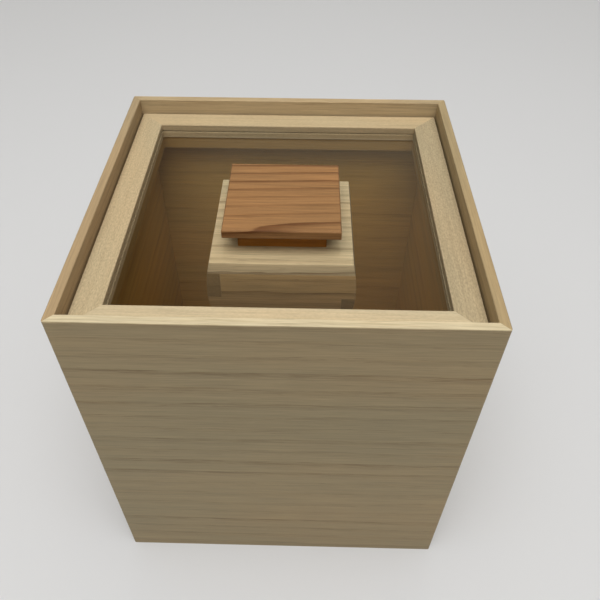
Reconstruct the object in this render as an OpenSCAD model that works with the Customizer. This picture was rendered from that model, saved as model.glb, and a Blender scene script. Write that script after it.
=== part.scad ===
// Wooden puzzle box: a deep square case closed by a sunk window lid. A small barrel-sided
// box hangs under the pane from a cherry knob, so lid, knob and small box lift out together.
// Origin: centre of the underside. +Z is up, the front wall faces -Y.

/* [Case] */
// Outer width and depth of the case
case_w = 200; // [194:1:212]
// Outer height of the case
case_h = 220; // [200:1:240]
// Thickness of the four outer walls
wall_t = 4.8; // [4.4:0.1:5.2]
// Radius of the upright outer corners
corner_r = 1.6; // [1:0.1:3]
// Width of the eased edges along the rim and the foot
rim_ease = 0.3; // [0.2:0.1:1]
// Thickness of the floor panel
floor_t = 6; // [4:0.5:9]
// Thickness of the lining boards
liner_t = 5.4; // [4:0.1:7]
// Height of the ledge battens that carry the lid
ledge_h = 8; // [6:0.5:12]

/* [Window lid] */
// Depth of the lid's top below the rim of the case
lid_drop = 9; // [8:0.5:12]
// Thickness of the lid frame
lid_t = 10; // [9.5:0.5:13]
// Gap between the lid frame and the walls
lid_gap = 1; // [0.6:0.1:1.5]
// Width of each member of the lid frame
stile_w = 14.2; // [14.2:0.1:20]
// Thickness of the clear pane
pane_t = 2.5; // [2:0.1:3]
// Depth of the pane's top below the top of the frame
pane_drop = 3.8; // [3:0.1:4]

/* [Knob] */
// Width of the square knob plate
plate_w = 61.2; // [50:0.2:74]
// Thickness of the knob plate
plate_t = 5.4; // [4.2:0.1:6]
// Gap between the pane and the underside of the knob plate
plate_lift = 2.8; // [2.6:0.1:4.2]
// Width of the square collar under the pane
collar_w = 47; // [36:1:60]
// Height of the square collar
collar_h = 6.2; // [4:0.1:9]
// Diameter of the turning spindle
spindle_d = 12; // [10:0.5:14]

/* [Small box] */
// Width of the small box across its flat top
box_w = 75; // [74:0.2:84]
// Overall height of the small box, with its top panel
box_h = 38; // [37:0.5:46]
// How far each side swells out at mid height
box_bulge = 2.3; // [1.5:0.1:3.5]
// Thickness of the small box's top panel
top_t = 6.4; // [5:0.1:7]
// Width of the square compartment
bay_w = 64.4; // [60:0.2:65]
// Thickness of the small box's bottom panel
bottom_t = 4; // [3:0.5:5]

/* [Lock] */
// Diameter of each sliding pin's shank
pin_d = 4; // [3.5:0.1:4.2]
// Outward travel of each sliding pin
pin_travel = 3.8; // [3.6:0.1:4]
// Length of the turn bar inside the small box
bar_l = 54; // [50:1:55]

/* [Hidden] */
$fn = 96;
eps = 0.01;

// Heights, measured up from the underside of the case
lid_top = case_h - lid_drop;
lid_low = lid_top - lid_t;
ledge_low = lid_low - ledge_h;
pane_top = lid_top - pane_drop;
pane_low = pane_top - pane_t;
plate_low = pane_top + plate_lift;
box_top_z = pane_low - collar_h;
seam_z = box_top_z - top_t;
box_low = box_top_z - box_h;
board_h = seam_z - box_low;

// Plan sizes
inner_w = case_w - 2 * wall_t;
lining_w = inner_w - 2 * liner_t;
lid_w = inner_w - 2 * lid_gap;
window_w = lid_w - 2 * stile_w;
ledge_open = window_w + 1;
groove_d = 4;
lid_ease = 0.3;
ledge_ease = 0.4;
bay_half = bay_w / 2;
swell_half = box_w / 2 + box_bulge;
swell_r = (pow(box_h / 2, 2) + pow(box_bulge, 2)) / (2 * box_bulge);

// Knob, spindle and turn bar
plate_ease = 0.6;
hub_d = 30;
tenon_d = 10;
tenon_h = 2;
turn_gap = 0.075;
rest_gap = 0.2;
bar_w = 16;
bar_t = 5.3;
cleat_h = 6;
cleat_w = 24;
cleat_reach = 13.5;
lip_w = 32;
lip_t = 6;
lip_gap = 0.05;
bar_top = seam_z - cleat_h - 0.3;
bar_low = bar_top - bar_t;
peg_d = 3;

// Sliding pins in the lid's side members
pin_z = pane_low + pane_t / 2;
head_d = pin_d + 2;
head_l = 2;
pin_l = 8;
pin_gap = 0.06;
bush_l = 2.4;
pin_sunk = 1;
bore_l = 9.1;
socket_d = pin_d + 0.8;
socket_depth = pin_travel - pin_sunk - lid_gap + 0.8;

case_wood = [0.86, 0.79, 0.64];
lid_wood = [0.85, 0.76, 0.6];
liner_wood = [0.6, 0.49, 0.33];
box_wood = [0.77, 0.67, 0.5];
cherry = [0.66, 0.47, 0.32];
clear = [0.85, 0.9, 0.9, 0.3];
brass = [0.78, 0.64, 0.36];

// A square block, centred on the axis, between two heights
module slab(width, low, high) {
    translate([-width / 2, -width / 2, low]) cube([width, width, high - low]);
}

// Side view of a block with eased ends; a negative ease flares them, as a cutter needs
module eased_profile(width, low, high, ease) {
    a = width / 2;
    tip = a - ease;
    drop = abs(ease);
    over = ease < 0 ? 1 : 0;
    polygon([
        [-tip, low - over], [tip, low - over], [tip, low], [a, low + drop], [a, high - drop], [tip, high],
        [tip, high + over], [-tip, high + over], [-tip, high], [-a, high - drop], [-a, low + drop], [-tip, low]
    ]);
}

// Square block between two heights, eased round its top and bottom edges
module eased_block(width, low, high, ease) {
    intersection() {
        rotate([90, 0, 0]) linear_extrude(2 * width, center = true)
            eased_profile(width, low, high, ease);
        rotate([90, 0, 90]) linear_extrude(2 * width, center = true)
            eased_profile(width, low, high, ease);
    }
}

// Front quarter of a square ring with eased edges, cut along both mitres
module mitred_member(outer_w, inside_w, low, high, ease) {
    a = outer_w / 2;
    intersection() {
        translate([0, 0, low]) linear_extrude(high - low) polygon([[-a, -a], [a, -a], [0, 0]]);
        difference() {
            eased_block(outer_w, low, high, ease);
            eased_block(inside_w, low, high, -ease);
        }
    }
}

// Square outline with rounded corners
module rounded_square(width, radius) {
    inset = width - 2 * radius;
    square([width, inset], center = true);
    square([inset, width], center = true);
    for (x = [-1, 1], y = [-1, 1]) translate([x * inset / 2, y * inset / 2]) circle(radius);
}

// One outer wall, turned from the front side by quarter turns
module case_wall(turns) {
    color(case_wood) rotate(90 * turns) intersection() {
        mitred_member(case_w, inner_w, 0, case_h, rim_ease);
        linear_extrude(case_h) rounded_square(case_w, corner_r);
    }
}

// A side wall, with the blind socket that a sliding pin enters
module side_wall(turns) {
    side = turns == 1 ? 1 : -1;
    color(case_wood) difference() {
        case_wall(turns);
        translate([side * (inner_w / 2 - eps), 0, pin_z]) rotate([0, side * 90, 0])
            cylinder(d = socket_d, h = socket_depth + eps);
    }
}

module floor_panel() {
    color(case_wood) slab(inner_w, 0, floor_t);
}

// A lining board; the front and back ones run the full width
module liner(turns) {
    length = turns % 2 == 0 ? inner_w : lining_w;
    color(liner_wood) rotate(90 * turns) translate([-length / 2, -inner_w / 2, floor_t])
        cube([length, liner_t, ledge_low - floor_t]);
}

module ledge(turns) {
    color(liner_wood) rotate(90 * turns)
        mitred_member(inner_w, ledge_open, ledge_low, lid_low, ledge_ease);
}

// One mitred member of the lid frame, grooved for the pane
module lid_member(turns) {
    color(lid_wood) rotate(90 * turns) difference() {
        mitred_member(lid_w, window_w, lid_low, lid_top, lid_ease);
        slab(window_w + 2 * groove_d, pane_low, pane_top);
    }
}

// A side member of the lid frame, bored from its outer edge for a sliding pin
module lid_stile(turns) {
    side = turns == 1 ? 1 : -1;
    color(lid_wood) difference() {
        lid_member(turns);
        translate([side * (lid_w / 2 - bore_l), 0, pin_z]) rotate([0, side * 90, 0])
            cylinder(d = head_d + 2 * pin_gap, h = bore_l + 1);
    }
}

// Clear pane with a round hole for the spindle
module window_pane() {
    color(clear) difference() {
        slab(window_w + 2 * groove_d - 0.4, pane_low, pane_top);
        translate([0, 0, pane_low - 1]) cylinder(d = spindle_d + 2, h = pane_t + 2);
    }
}

// Bore that the spindle turns in
module spindle_bore(low, high) {
    translate([0, 0, low - 1]) cylinder(d = spindle_d + 2 * turn_gap, h = high - low + 2);
}

module collar_block() {
    color(cherry) difference() {
        slab(collar_w, box_top_z, pane_low);
        spindle_bore(box_top_z, pane_low);
    }
}

// Side view of the small box: a square with bowed sides, drawn about the box's middle
module barrel_profile() {
    intersection() {
        square([2 * swell_half, box_h], center = true);
        translate([swell_half - swell_r, 0]) circle(swell_r, $fn = 180);
        translate([swell_r - swell_half, 0]) circle(swell_r, $fn = 180);
    }
}

// Solid barrel-sided block, bowed on all four sides
module barrel_block() {
    reach = 2 * swell_half + 2;
    translate([0, 0, box_low + box_h / 2]) intersection() {
        rotate([90, 0, 0]) linear_extrude(reach, center = true) barrel_profile();
        rotate([90, 0, 90]) linear_extrude(reach, center = true) barrel_profile();
    }
}

module box_top_panel() {
    color(box_wood) difference() {
        intersection() {
            barrel_block();
            slab(2 * swell_half + 2, seam_z, box_top_z + 1);
        }
        spindle_bore(seam_z, box_top_z);
    }
}

// Two strips under the top panel that fit snugly inside the small box
module box_top_lips() {
    color(box_wood) for (turns = [0, 2]) rotate(90 * turns)
        translate([-lip_w / 2, -bay_half + lip_gap, seam_z - cleat_h])
            cube([lip_w, lip_t, cleat_h]);
}

// Space of one board: whole along its side, with a finger of half height at each end
module board_space() {
    far = swell_half + 1;
    half_h = board_h / 2;
    // lower half, running out to the left corner
    translate([-far, -far, box_low]) cube([far + bay_half, far - bay_half, half_h]);
    // upper half, running out to the right corner
    translate([-bay_half, -far, box_low + half_h]) cube([far + bay_half, far - bay_half, half_h]);
}

// One board of the small box; the four interlock like a pinwheel
module box_board(turns) {
    color(box_wood) intersection() {
        barrel_block();
        rotate(90 * turns) board_space();
    }
}

module box_bottom_panel() {
    color(box_wood) slab(bay_w, box_low, box_low + bottom_t);
}

// Blocks inside the small box that rest on the turn bar once it is turned
module catch_cleats() {
    color(cherry) for (turns = [0, 2]) rotate(90 * turns)
        translate([bay_half - cleat_reach, -cleat_w / 2, seam_z - cleat_h])
            cube([cleat_reach, cleat_w, cleat_h]);
}

// Square plate with eased edges and a round socket for the spindle's tenon
module knob_plate() {
    color(cherry) difference() {
        eased_block(plate_w, plate_low, plate_low + plate_t, plate_ease);
        translate([0, 0, plate_low - 1]) cylinder(d = tenon_d + 0.1, h = tenon_h + 1.05);
    }
}

// Hole for the peg that pins the turn bar to the spindle
module peg_hole() {
    translate([0, 0, bar_low + bar_t / 2]) rotate([0, 90, 0])
        cylinder(d = peg_d, h = bar_w + 1, center = true);
}

// Turned spindle: tenon in the plate, hub resting on the pane, shank down to the turn bar
module knob_spindle() {
    color(cherry) difference() {
        union() {
            translate([0, 0, plate_low]) cylinder(d = tenon_d, h = tenon_h);
            translate([0, 0, pane_top + rest_gap]) cylinder(d = hub_d, h = plate_lift - rest_gap);
            translate([0, 0, bar_low]) cylinder(d = spindle_d, h = pane_top + 1 - bar_low);
        }
        peg_hole();
    }
}

module turn_bar() {
    color(cherry) difference() {
        translate([-bar_w / 2, -bar_l / 2, bar_low]) cube([bar_w, bar_l, bar_t]);
        spindle_bore(bar_low, bar_top);
        peg_hole();
    }
}

module bar_peg() {
    color(brass) translate([0, 0, bar_low + bar_t / 2]) rotate([0, 90, 0])
        cylinder(d = peg_d, h = bar_w, center = true);
}

// Headed pin, drawn back into the lid frame; it slides outwards into the wall's socket
module lock_pin(side) {
    tip = lid_w / 2 - pin_sunk;
    color(brass) translate([side * (tip - pin_l), 0, pin_z]) rotate([0, side * 90, 0]) {
        cylinder(d = head_d, h = head_l);
        cylinder(d = pin_d, h = pin_l);
    }
}

// Two bushes in the mouths of the pin bores, which keep the headed pins in
module pin_bushes() {
    color(brass) for (side = [-1, 1]) translate([side * (lid_w / 2 - bush_l), 0, pin_z])
        rotate([0, side * 90, 0]) difference() {
            cylinder(d = head_d + 2 * pin_gap, h = bush_l);
            translate([0, 0, -1]) cylinder(d = pin_d + 2 * pin_gap, h = bush_l + 2);
        }
}

case_wall(0);  // wall_front
side_wall(1);  // wall_right
case_wall(2);  // wall_back
side_wall(3);  // wall_left
floor_panel();
liner(0);  // liner_front
liner(1);  // liner_right
liner(2);  // liner_back
liner(3);  // liner_left
ledge(0);  // ledge_front
ledge(1);  // ledge_right
ledge(2);  // ledge_back
ledge(3);  // ledge_left
lid_member(0);  // lid_rail_front
lid_stile(1);  // lid_stile_right
lid_member(2);  // lid_rail_back
lid_stile(3);  // lid_stile_left
window_pane();
collar_block();
box_top_panel();
box_top_lips();
pin_bushes();
knob_plate();
knob_spindle();
turn_bar();
bar_peg();
box_board(0);  // box_board_front
box_board(1);  // box_board_right
box_board(2);  // box_board_back
box_board(3);  // box_board_left
box_bottom_panel();
catch_cleats();
lock_pin(-1);  // lock_pin_left
lock_pin(1);  // lock_pin_right
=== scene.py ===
import math

import bpy
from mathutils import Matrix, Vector

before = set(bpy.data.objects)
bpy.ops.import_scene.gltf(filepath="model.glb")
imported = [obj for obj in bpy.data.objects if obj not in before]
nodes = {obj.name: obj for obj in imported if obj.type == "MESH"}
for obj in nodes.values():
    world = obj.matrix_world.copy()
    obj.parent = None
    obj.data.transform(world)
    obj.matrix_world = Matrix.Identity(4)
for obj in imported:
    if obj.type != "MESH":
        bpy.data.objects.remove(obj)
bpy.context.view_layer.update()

MM = 0.001


# ---------------------------------------------------------------- shader graphs

class Graph:
    """One material's node tree, with short ways to add nodes and join them."""

    def __init__(self, name):
        self.material = bpy.data.materials.new(name)
        self.material.use_nodes = True
        self.tree = self.material.node_tree
        self.tree.nodes.clear()

    def add(self, kind, values=None, **settings):
        """A new node; values maps input names or numbers to sockets or plain values."""
        node = self.tree.nodes.new("ShaderNode" + kind)
        for key, value in settings.items():
            setattr(node, key, value)
        for key, value in (values or {}).items():
            self.feed(node.inputs[key], value)
        return node

    def feed(self, socket, value):
        if isinstance(value, bpy.types.NodeSocket):
            self.tree.links.new(value, socket)
        else:
            socket.default_value = value

    def math(self, operation, a, b=0.0, clamp=False):
        node = self.add("Math", {0: a, 1: b}, operation=operation, use_clamp=clamp)
        return node.outputs[0]

    def scaled(self, value, factor, start):
        """start + value * factor"""
        return self.add("Math", {0: value, 1: factor, 2: start}, operation="MULTIPLY_ADD").outputs[0]

    def vector(self, operation, a, b):
        return self.add("VectorMath", {0: a, 1: b}, operation=operation).outputs[0]

    def noise(self, place, stretch, detail=2.0, roughness=0.5, output="Fac"):
        """Noise whose cells are stretch millimetres long on each axis."""
        cells = self.vector("MULTIPLY", place, tuple(1.0 / s for s in stretch))
        values = {"Vector": cells, "Scale": 1.0, "Detail": detail, "Roughness": roughness}
        return self.add("TexNoise", values).outputs[output]

    def ramp(self, factor, low, high, low_out=0.0, high_out=1.0):
        """A smooth step between two values."""
        values = {"Value": factor, "From Min": low, "From Max": high,
                  "To Min": low_out, "To Max": high_out}
        return self.add("MapRange", values, interpolation_type="SMOOTHSTEP").outputs[0]

    def blend(self, factor, a, b, mode="MIX"):
        node = self.add("Mix", data_type="RGBA", blend_type=mode)
        self.feed(node.inputs[0], factor)
        self.feed(node.inputs[6], a)
        self.feed(node.inputs[7], b)
        return node.outputs[2]

    def close(self, shader):
        self.add("OutputMaterial", {"Surface": shader})
        return self.material


def rgba(colour):
    return (*colour, 1.0)


# ---------------------------------------------------------------- wood

TURN_TO_GRAIN = {
    "X": (0.0, 0.0, 0.0),
    "Y": (0.0, 0.0, -math.pi / 2),
    "Z": (0.0, math.pi / 2, 0.0),
}

# Looks of the four woods. light, dark and pore are its colours. ring_mm is the ring spacing,
# sharp how narrow its dark line is, and line how dark; broken is how far the line breaks up.
# pith is where the tree's centre lies across the grain, in mm; slope and tilt are how far it
# strays sideways and up per mm along the grain; wander_mm and ripple_mm bend the rings.
# fibre, streak, pores, patch and fleck say how strong each mark is, rough how matt the wood is.
KIRI = dict(
    light=(0.60, 0.515, 0.345), dark=(0.33, 0.24, 0.13), pore=(0.22, 0.15, 0.08),
    ring_mm=10.5, line=0.80, broken=0.80, sharp=3.0, fibre=0.18, streak=0.14, pores=0.26,
    patch=0.12, rough=0.58, wander_mm=2.6, ripple_mm=0.8, slope=0.0, tilt=0.0,
    pith=(70.0, -320.0), fleck=0.0,
)
LID_WOOD = dict(
    KIRI, light=(0.60, 0.50, 0.325), dark=(0.44, 0.335, 0.20), ring_mm=5.0, line=0.30,
    fibre=0.09, streak=0.10, pores=0.06, patch=0.06, wander_mm=3.0, pith=(260.0, 120.0),
    fleck=0.30,
)
ASH = dict(
    KIRI, light=(0.56, 0.44, 0.26), dark=(0.24, 0.155, 0.07), ring_mm=8.0, line=1.0,
    broken=0.45, sharp=5.0, fibre=0.24, streak=0.22, pores=0.60, patch=0.10,
    wander_mm=2.5, ripple_mm=1.6, pith=(60.0, -160.0),
)
CHERRY = dict(
    light=(0.325, 0.168, 0.066), dark=(0.135, 0.044, 0.012), pore=(0.12, 0.045, 0.012),
    ring_mm=5.8, line=1.0, broken=0.35, sharp=3.2, fibre=0.28, streak=0.28, pores=0.22,
    patch=0.18, rough=0.45, wander_mm=4.5, ripple_mm=2.2, slope=0.08,
    tilt=0.0, pith=(-420.0, 120.0), fleck=0.06,
)

# how long each mark is along the grain and across it, in mm
SWAY_CELL = (150.0, 50.0, 50.0)
RIPPLE_CELL = (16.0, 7.0, 7.0)
STROKE_CELL = (17.0, 0.45, 0.45)
FIBRE_CELL = (30.0, 0.75, 0.75)
STREAK_CELL = (110.0, 2.4, 2.4)
PORE_CELL = (8.0, 0.40, 0.40)
FLECK_CELL = (1.8, 0.7, 0.7)
PATCH_CELL = (180.0, 45.0, 45.0)

# the part of a noise's range over which each mark comes up from nothing to its full strength
STROKE_SPAN = (0.42, 0.66)
PORE_SPAN = (0.60, 0.74)
PATCH_SPAN = (0.3, 0.7)
FIBRE_SPAN = (0.2, 0.8)

# noise mostly stays near its middle, so its swing is raised by these factors
WANDER_GAIN = 4
FIBRE_GAIN = 4
STREAK_GAIN = 2
PATCH_GAIN = 2
FLECK_GAIN = 3

# how a board's place in the noise and its pith, in mm, follow from its seed
SEED_CYCLE = 7
CYCLE_SHIFT = Vector((137.0, 211.0, 89.0))
SEED_SHIFT = Vector((0.0, 17.0, 31.0))
PITH_STEP = 37
PITH_REACH = 23

# colour factors of the slow patches
WARM_TINT = (1.035, 0.985, 0.945)
COOL_TINT = (0.975, 1.0, 1.02)

# where in a ring its late wood is darkest, as a share of the ring
DARKEST = 0.95
# how strong the faintest ring is beside the strongest
FAINTEST_RING = 0.30
# how strong the pores are at a ring's start beside its end
EARLY_PORES = 0.25
# metres outward from the middle over which upright faces begin to take the painted shade of the
# outer faces
FACE_SHADE_SPAN = (0.02, 0.09)
# cosine between a face's normal and the grain over which it turns to end grain
END_GRAIN_SPAN = (0.75, 0.95)
# how much of the end grain's colour shows there, and how light that is beside late wood
END_GRAIN_SHARE = 0.55
END_GRAIN_LIGHT = 0.6
# how deep pores and late wood lie, beside the height of the fibres
PORE_DEPTH = 0.8
LATE_DEPTH = 0.25


def centred_on(g, value, amount):
    """1 plus a noise's swing about its middle, as a factor for a colour."""
    return g.scaled(g.math("SUBTRACT", value, 0.5), amount, 1.0)


def ring_phase(g, look, local, place, seed):
    """How many growth rings lie between a point and the pith."""
    sway = g.noise(place, SWAY_CELL, output="Color")
    sway = g.vector("SUBTRACT", sway, (0.5, 0.5, 0.5))
    wander = look["wander_mm"] * WANDER_GAIN
    sway = g.vector("MULTIPLY", sway, (0.0, wander, wander))
    ripple = g.noise(place, RIPPLE_CELL, output="Color")
    ripple = g.vector("SUBTRACT", ripple, (0.5, 0.5, 0.5))
    ripple = g.vector("MULTIPLY", ripple, (0.0, look["ripple_mm"], look["ripple_mm"]))
    bent = g.vector("ADD", g.vector("ADD", local, sway), ripple)
    pith_v, pith_w = look["pith"]
    reach = seed * PITH_STEP % PITH_REACH
    centred = g.vector("SUBTRACT", bent, (0.0, pith_v + reach, pith_w - reach))
    parts = g.add("SeparateXYZ", {0: centred}).outputs
    sideways = g.scaled(parts[0], -look["slope"], parts[1])
    upwards = g.scaled(parts[0], -look["tilt"], parts[2])
    across = g.add("CombineXYZ", {0: 0.0, 1: sideways, 2: upwards}).outputs[0]
    radius = g.add("VectorMath", {0: across}, operation="LENGTH").outputs["Value"]
    return g.math("DIVIDE", radius, look["ring_mm"])


def late_wood(g, look, phase, place, seed):
    """The dark end of each ring, partly broken up into fine strokes."""
    within = g.math("FRACT", phase)
    rise = g.math("POWER", g.ramp(within, 0.1, DARKEST), look["sharp"])
    fall = g.ramp(within, DARKEST, 1.0, 1.0, 0.0)
    number = g.math("ADD", g.math("FLOOR", phase), float(seed))
    strength = g.add("TexWhiteNoise", {"W": number}, noise_dimensions="1D").outputs["Value"]
    strength = g.ramp(strength, 0.0, 1.0, FAINTEST_RING, 1.0)
    strokes = g.ramp(g.noise(place, STROKE_CELL), *STROKE_SPAN)
    strokes = g.ramp(strokes, 0.0, 1.0, 1.0 - look["broken"], 1.0)
    late = g.math("MULTIPLY", g.math("MULTIPLY", rise, fall), strength)
    return g.math("MULTIPLY", g.math("MULTIPLY", late, strokes), look["line"], clamp=True)


def mottled(g, look, place, colour, fibre):
    """A colour with fibres, streaks, flecks and slow patches of warmer and cooler tint."""
    streak = g.noise(place, STREAK_CELL, roughness=0.6)
    fleck = g.noise(place, FLECK_CELL, roughness=0.6)
    patch = g.noise(place, PATCH_CELL)
    warm = g.blend(1.0, colour, rgba(WARM_TINT), "MULTIPLY")
    cool = g.blend(1.0, colour, rgba(COOL_TINT), "MULTIPLY")
    colour = g.blend(g.ramp(patch, *PATCH_SPAN), cool, warm)
    value = g.math("MULTIPLY", centred_on(g, fibre, look["fibre"] * FIBRE_GAIN),
                   centred_on(g, streak, look["streak"] * STREAK_GAIN))
    value = g.math("MULTIPLY", value, centred_on(g, patch, look["patch"] * PATCH_GAIN))
    value = g.math("MULTIPLY", value, centred_on(g, fleck, look["fleck"] * FLECK_GAIN))
    grey = g.add("CombineXYZ", {0: value, 1: value, 2: value}).outputs[0]
    return g.vector("MULTIPLY", colour, grey)


def outwardness(g, coords):
    """0 to 1: how far an upright face looks away from the object's middle."""
    flat = g.vector("MULTIPLY", coords["Normal"], (1.0, 1.0, 0.0))
    outward = g.add("VectorMath", {0: coords["Object"], 1: flat}, operation="DOT_PRODUCT")
    return g.ramp(outward.outputs["Value"], *FACE_SHADE_SPAN)


def end_grain(g, coords, turn):
    """0 to 1: how squarely a face cuts the grain."""
    facing = g.add("Mapping", {"Vector": coords["Normal"], "Rotation": turn})
    along = g.add("SeparateXYZ", {0: facing.outputs[0]}).outputs[0]
    return g.ramp(g.math("ABSOLUTE", along), *END_GRAIN_SPAN)


def wood(name, look, grain="X", seed=0, tone_and_light=(1.0, 1.0, 1.0), face_shade=(1.0, 1.0, 1.0)):
    """Solid wood: growth rings, fibres and pores along the grain, darker end grain. The last two
    factors are for the colour: on the whole board, partly its own colour and partly painted light,
    and painted shade on its outward upright faces."""
    g = Graph(name)
    coords = g.add("TexCoord").outputs
    turn = TURN_TO_GRAIN[grain]
    shift = CYCLE_SHIFT * (seed % SEED_CYCLE + 1) + SEED_SHIFT * seed
    to_mm = {"Vector": coords["Object"], "Rotation": turn, "Scale": (1 / MM,) * 3}
    local = g.add("Mapping", to_mm).outputs[0]
    place = g.vector("ADD", local, tuple(shift))

    def toned(colour, factor=1.0):
        return rgba(tuple(c * t * factor for c, t in zip(colour, tone_and_light)))

    phase = ring_phase(g, look, local, place, seed)
    late = late_wood(g, look, phase, place, seed)
    fibre = g.noise(place, FIBRE_CELL, detail=3.0, roughness=0.6)
    pore = g.ramp(g.noise(place, PORE_CELL, detail=1.0), *PORE_SPAN)
    share = g.ramp(g.math("FRACT", phase), 0.0, 1.0, EARLY_PORES, 1.0)
    pore = g.math("MULTIPLY", pore, share)

    colour = g.blend(late, toned(look["light"]), toned(look["dark"]))
    colour = mottled(g, look, place, colour, fibre)
    colour = g.blend(g.math("MULTIPLY", pore, look["pores"]), colour, toned(look["pore"]))
    # painted shade: the outward upright faces of the walls are darkened, the front one most
    shaded_face = g.blend(1.0, colour, rgba(face_shade), "MULTIPLY")
    colour = g.blend(outwardness(g, coords), colour, shaded_face)
    end = g.math("MULTIPLY", end_grain(g, coords, turn), END_GRAIN_SHARE)
    colour = g.blend(end, colour, toned(look["dark"], END_GRAIN_LIGHT))

    # fibres stand out a little, pores and late wood lie a little deeper
    height = g.math("ADD", fibre, g.math("MULTIPLY", pore, -PORE_DEPTH))
    height = g.math("ADD", height, g.math("MULTIPLY", late, -LATE_DEPTH))
    bump = g.add("Bump", {"Strength": 0.3, "Distance": 0.1 * MM, "Height": height})
    rough = g.ramp(fibre, *FIBRE_SPAN, look["rough"] - 0.06, look["rough"] + 0.08)
    shader = g.add("BsdfPrincipled", {
        "Base Color": colour, "Roughness": rough, "Normal": bump.outputs[0],
        "Specular IOR Level": 0.35})
    return g.close(shader.outputs[0])


def clear_acrylic():
    """Clear sheet that lets lamps through, with a few faint wipe marks in its gloss."""
    g = Graph("clear_acrylic")
    coords = g.add("TexCoord").outputs["Object"]
    place = g.vector("MULTIPLY", coords, (1 / MM,) * 3)
    marks = g.noise(place, (30.0, 9.0, 30.0), detail=4.0)
    rough = g.ramp(marks, 0.45, 0.8, 0.0, 0.05)
    glass = g.add("BsdfPrincipled", {
        "Base Color": rgba((0.985, 0.99, 0.985)), "Roughness": rough, "IOR": 1.3,
        "Transmission Weight": 1.0})
    through = g.add("BsdfTransparent", {"Color": rgba((0.97, 0.975, 0.97))})
    path = g.add("LightPath").outputs
    soft_ray = g.math("MAXIMUM", path["Is Shadow Ray"], path["Is Diffuse Ray"])
    mixed = g.add("MixShader", {0: soft_ray, 1: glass.outputs[0], 2: through.outputs[0]})
    return g.close(mixed.outputs[0])


def turned_brass():
    """Satin brass with fine turning marks and slight tarnish."""
    g = Graph("turned_brass")
    coords = g.add("TexCoord").outputs["Object"]
    place = g.vector("MULTIPLY", coords, (1 / MM,) * 3)
    tarnish = g.noise(place, (3.0, 3.0, 3.0), detail=4.0)
    turning = g.noise(place, (0.08, 6.0, 6.0), detail=2.0)
    colour = g.blend(g.ramp(tarnish, 0.4, 0.75), rgba((0.72, 0.50, 0.20)), rgba((0.45, 0.29, 0.11)))
    rough = g.ramp(tarnish, 0.3, 0.8, 0.22, 0.42)
    bump = g.add("Bump", {"Strength": 0.2, "Distance": 0.03 * MM, "Height": turning})
    shader = g.add("BsdfPrincipled", {
        "Base Color": colour, "Metallic": 1.0, "Roughness": rough, "Normal": bump.outputs[0]})
    return g.close(shader.outputs[0])


def dress(name, material):
    """Gives a CAD node its material."""
    mesh = nodes[name].data
    mesh.materials.clear()
    mesh.materials.append(material)


SIDES = ("front", "right", "back", "left")


def grain_of(side):
    return "X" if side in ("front", "back") else "Y"


# how light each board is beside its wood's own colours: partly the board's own colour and partly
# painted light. The case's front is painted brighter and its back darker for how the light falls,
# and its sides and the lid's stiles darker as painted sheen.
CASE_TONE_AND_LIGHT = {"front": (1.11, 1.12, 1.11), "back": (0.85, 0.76, 0.66),
             "left": (0.68, 0.58, 0.49), "right": (0.69, 0.60, 0.48)}
LID_TONE_AND_SHEEN = {"front": (0.96, 0.95, 0.93), "back": (0.88, 0.83, 0.76),
            "left": (0.83, 0.80, 0.75), "right": (0.74, 0.70, 0.65)}
# painted shade: the case's inner liners and ledges are darker and more orange than the kiri outside
LINER_TONE_AND_SHADE = (0.74, 0.50, 0.18)
LEDGE_TONE_AND_SHADE = (0.54, 0.37, 0.16)
FLOOR_TONE = (0.88, 0.66, 0.36)
# painted shade: the small box's boards are darker than its top, and the collar is a deep orange as
# in shadow
BOX_TONE_AND_SHADE = (0.68, 0.56, 0.39)
COLLAR_TONE_AND_SHADE = (1.10, 0.80, 0.25)

# how much darker the outer upright face of each wall is than its rim, as painted shade, darkest on
# the front
FACE_SHADE = {"front": (0.455, 0.412, 0.346), "back": (0.70, 0.70, 0.68),
           "left": (0.76, 0.79, 0.80), "right": (0.76, 0.79, 0.80)}

# Boards that aren't like the rest of their wood: the rails show fewer flecks, the small box's
# top is cut nearer to the pith, and the plate right beside it, which gives it a pointed figure.
RAIL_WOOD = dict(LID_WOOD, fleck=0.12, fibre=0.12)
BOX_TOP_WOOD = dict(ASH, pith=(-150.0, 100.0), ring_mm=6.6)
PLATE_WOOD = dict(
    CHERRY, dark=(0.105, 0.033, 0.009), pith=(-34.0, 214.2), ring_mm=7.4, sharp=5.5,
    slope=0.03, tilt=0.085, wander_mm=0.8, ripple_mm=1.4, broken=0.2,
)


def dress_sides():
    """The boards that come in fours, one for each side. Every board has a seed of its own."""
    for i, side in enumerate(SIDES):
        grain = grain_of(side)
        wall = wood(f"kiri_wall_{side}", KIRI, grain, i, CASE_TONE_AND_LIGHT[side], FACE_SHADE[side])
        dress(f"wall_{side}", wall)
        dress(f"liner_{side}", wood(f"kiri_liner_{side}", KIRI, grain, i + 4, LINER_TONE_AND_SHADE))
        dress(f"ledge_{side}", wood(f"kiri_ledge_{side}", KIRI, grain, i + 8, LEDGE_TONE_AND_SHADE))
        member, look = ("rail", RAIL_WOOD) if grain == "X" else ("stile", LID_WOOD)
        dress(f"lid_{member}_{side}",
              wood(f"lid_{side}_wood", look, grain, i + 12, LID_TONE_AND_SHEEN[side]))
        dress(f"box_board_{side}", wood(f"box_{side}_wood", ASH, grain, i + 16, BOX_TONE_AND_SHADE))


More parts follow.
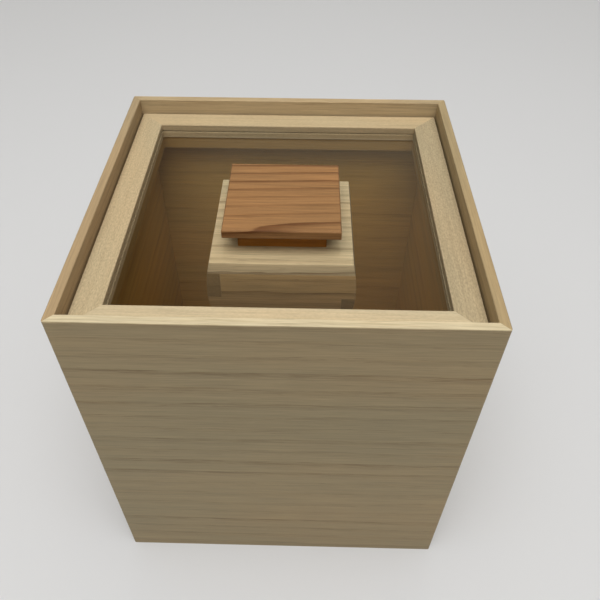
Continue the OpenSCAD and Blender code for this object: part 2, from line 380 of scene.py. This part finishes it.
def dress_all():
    """Every node's own piece of wood, acrylic or brass."""
    dress_sides()
    dress("floor_panel", wood("kiri_floor", KIRI, "X", 21, FLOOR_TONE))
    dress("box_top_panel", wood("box_top_panel_wood", BOX_TOP_WOOD, "X", 22))
    for i, name in enumerate(("box_top_lips", "box_bottom_panel")):
        dress(name, wood(f"{name}_wood", ASH, "X", 23 + i))
    dress("knob_plate", wood("knob_plate_wood", PLATE_WOOD, "X", 25))
    dress("collar_block", wood("collar_block_wood", CHERRY, "X", 26, COLLAR_TONE_AND_SHADE))
    dress("catch_cleats", wood("catch_cleats_wood", CHERRY, "X", 27))
    dress("knob_spindle", wood("knob_spindle_wood", CHERRY, "Z", 28))
    dress("turn_bar", wood("turn_bar_wood", CHERRY, "Y", 29))
    dress("window_pane", clear_acrylic())
    brass = turned_brass()
    for name in ("pin_bushes", "bar_peg", "lock_pin_left", "lock_pin_right"):
        dress(name, brass)


# ---------------------------------------------------------------- soft edges

# width of the rounded edges, in mm
EDGE_MM = {
    "floor_panel": 0.3, "window_pane": 0.15, "collar_block": 0.4, "box_top_panel": 0.3,
    "box_top_lips": 0.3, "knob_plate": 0.2, "knob_spindle": 0.4, "turn_bar": 0.5,
    "box_bottom_panel": 0.3, "catch_cleats": 0.4, "bar_peg": 0.2, "pin_bushes": 0.15,
    "lock_pin_left": 0.3, "lock_pin_right": 0.3,
}
LINER_EDGE_MM = 0.3
BOX_EDGE_MM = 0.2
WELD_MM = 0.002


def soften(name, width_mm):
    """Rounds a node's sharp edges. The mesh is split there, so only one face uses each."""
    node = nodes[name]
    mesh = node.data
    uses = [0] * len(mesh.edges)
    for loop in mesh.loops:
        uses[loop.edge_index] += 1
    weights = mesh.attributes.new("bevel_weight_edge", "FLOAT", "EDGE")
    for edge in mesh.edges:
        weights.data[edge.index].value = 1.0 if uses[edge.index] == 1 else 0.0
    weld = node.modifiers.new("weld", "WELD")
    weld.merge_threshold = WELD_MM * MM
    bevel = node.modifiers.new("arris", "BEVEL")
    bevel.width = width_mm * MM
    bevel.segments = 3
    bevel.limit_method = "WEIGHT"
    bevel.use_clamp_overlap = False
    normals = node.modifiers.new("normals", "WEIGHTED_NORMAL")
    normals.mode = "FACE_AREA_WITH_ANGLE"


def soften_all():
    """The walls, ledges and lid frame are left alone: their eased edges are in the CAD."""
    for side in SIDES:
        soften(f"liner_{side}", LINER_EDGE_MM)
        soften(f"box_board_{side}", BOX_EDGE_MM)
    for name, width_mm in EDGE_MM.items():
        soften(name, width_mm)


# ---------------------------------------------------------------- studio

FLOOR_R = 6.0
FLOOR_STEPS = 96
FLOOR_COLOUR = (0.70, 0.705, 0.715)

OVERHEAD_PLACE = (0.0, -0.25, 1.25)
OVERHEAD_TARGET = (0.0, -0.1, 0.0)
OVERHEAD_SIZE = 1.9
OVERHEAD_POWER = 10.2
SKY_ENERGY = 1.62
SKY_SPREAD = math.radians(50.0)
SKY_LEAN = math.radians(18.0)

# The room. GLOW_WAY points at the middle of the glow. Its strength goes from room to glow as
# the cosine from that way goes through GLOW_COSINES; the pale lower room fades out as the
# height of a view line goes through HORIZON.
ROOM_TINT = (1.0, 0.86, 0.60)
HORIZON_TINT = (0.97, 0.97, 0.98)
ROOM_STRENGTH = 0.07
GLOW_STRENGTH = 0.70
HORIZON_STRENGTH = 0.35
GLOW_WAY = (0.05, 0.79, 0.61)
GLOW_COSINES = (0.93, 1.0)
HORIZON = (0.22, 0.40)

SENSOR_MM = 36.0
LENS_MM = 37.17
LENS_SHIFT = (0.0124, 0.0247)
CAMERA_PLACE = (0.0114, -0.2764, 0.4125)
CAMERA_DEGREES = (43.628, -0.074, 1.392)


def studio_floor():
    """A wide pale floor, round and flat."""
    turns = [math.tau * k / FLOOR_STEPS for k in range(FLOOR_STEPS)]
    verts = [(FLOOR_R * math.cos(turn), FLOOR_R * math.sin(turn), 0.0) for turn in turns]
    mesh = bpy.data.meshes.new("studio_floor")
    mesh.from_pydata(verts, [], [tuple(range(FLOOR_STEPS))])
    floor = bpy.data.objects.new("studio_floor", mesh)
    bpy.context.scene.collection.objects.link(floor)
    g = Graph("studio_paper")
    shader = g.add("BsdfPrincipled", {"Base Color": rgba(FLOOR_COLOUR), "Roughness": 0.9})
    mesh.materials.append(g.close(shader.outputs[0]))


def hang(name, data, place, turn):
    """Puts a lamp into the scene. Its crisp round edge is kept out of the pane's gloss."""
    lamp = bpy.data.objects.new(name, data)
    lamp.location = place
    lamp.rotation_euler = turn
    lamp.visible_glossy = False
    lamp.visible_transmission = False
    bpy.context.scene.collection.objects.link(lamp)


def lamps():
    """A large soft lamp above the box, and an even light as from an overcast sky."""
    overhead = bpy.data.lights.new("overhead", "AREA")
    overhead.shape = "DISK"
    overhead.size = OVERHEAD_SIZE
    overhead.energy = OVERHEAD_POWER
    way = Vector(OVERHEAD_TARGET) - Vector(OVERHEAD_PLACE)
    hang("overhead", overhead, OVERHEAD_PLACE, way.to_track_quat("-Z", "Y").to_euler())
    sky = bpy.data.lights.new("sky", "SUN")
    sky.energy = SKY_ENERGY
    sky.angle = SKY_SPREAD
    hang("sky", sky, (0.0, 0.0, 0.0), (SKY_LEAN, 0.0, 0.0))


def room():
    """A room that is pale near the horizon and dim and warm above, with a soft glow behind
    the box that is mirrored in the middle of the pane."""
    world = bpy.data.worlds.new("studio")
    world.use_nodes = True
    tree = world.node_tree

    def step(value, span, start, end):
        node = tree.nodes.new("ShaderNodeMapRange")
        node.interpolation_type = "SMOOTHERSTEP"
        numbers = (*span, start, end)
        for key, number in zip(("From Min", "From Max", "To Min", "To Max"), numbers):
            node.inputs[key].default_value = number
        tree.links.new(value, node.inputs["Value"])
        return node.outputs["Result"]

    way = tree.nodes.new("ShaderNodeTexCoord").outputs["Generated"]
    aim = tree.nodes.new("ShaderNodeVectorMath")
    aim.operation = "DOT_PRODUCT"
    aim.inputs[1].default_value = GLOW_WAY
    tree.links.new(way, aim.inputs[0])
    parts = tree.nodes.new("ShaderNodeSeparateXYZ")
    tree.links.new(way, parts.inputs[0])
    height = parts.outputs["Z"]
    strength = tree.nodes.new("ShaderNodeMath")
    strength.operation = "ADD"
    glow = step(aim.outputs["Value"], GLOW_COSINES, ROOM_STRENGTH, GLOW_STRENGTH)
    tree.links.new(glow, strength.inputs[0])
    tree.links.new(step(height, HORIZON, HORIZON_STRENGTH, 0.0), strength.inputs[1])
    tint = tree.nodes.new("ShaderNodeMix")
    tint.data_type = "RGBA"
    tint.inputs[6].default_value = rgba(ROOM_TINT)
    tint.inputs[7].default_value = rgba(HORIZON_TINT)
    tree.links.new(step(height, HORIZON, 1.0, 0.0), tint.inputs[0])
    back = tree.nodes["Background"]
    tree.links.new(tint.outputs[2], back.inputs["Color"])
    tree.links.new(strength.outputs[0], back.inputs["Strength"])
    bpy.context.scene.world = world


def camera():
    """A hand-held view from the front, above the rim."""
    data = bpy.data.cameras.new("camera")
    data.sensor_width = SENSOR_MM
    data.lens = LENS_MM
    data.shift_x, data.shift_y = LENS_SHIFT
    data.clip_start = 0.01
    eye = bpy.data.objects.new("camera", data)
    eye.location = CAMERA_PLACE
    eye.rotation_euler = tuple(math.radians(angle) for angle in CAMERA_DEGREES)
    bpy.context.scene.collection.objects.link(eye)
    bpy.context.scene.camera = eye


camera()
dress_all()
soften_all()
studio_floor()
lamps()
room()
bpy.context.scene.view_settings.view_transform = "Standard"
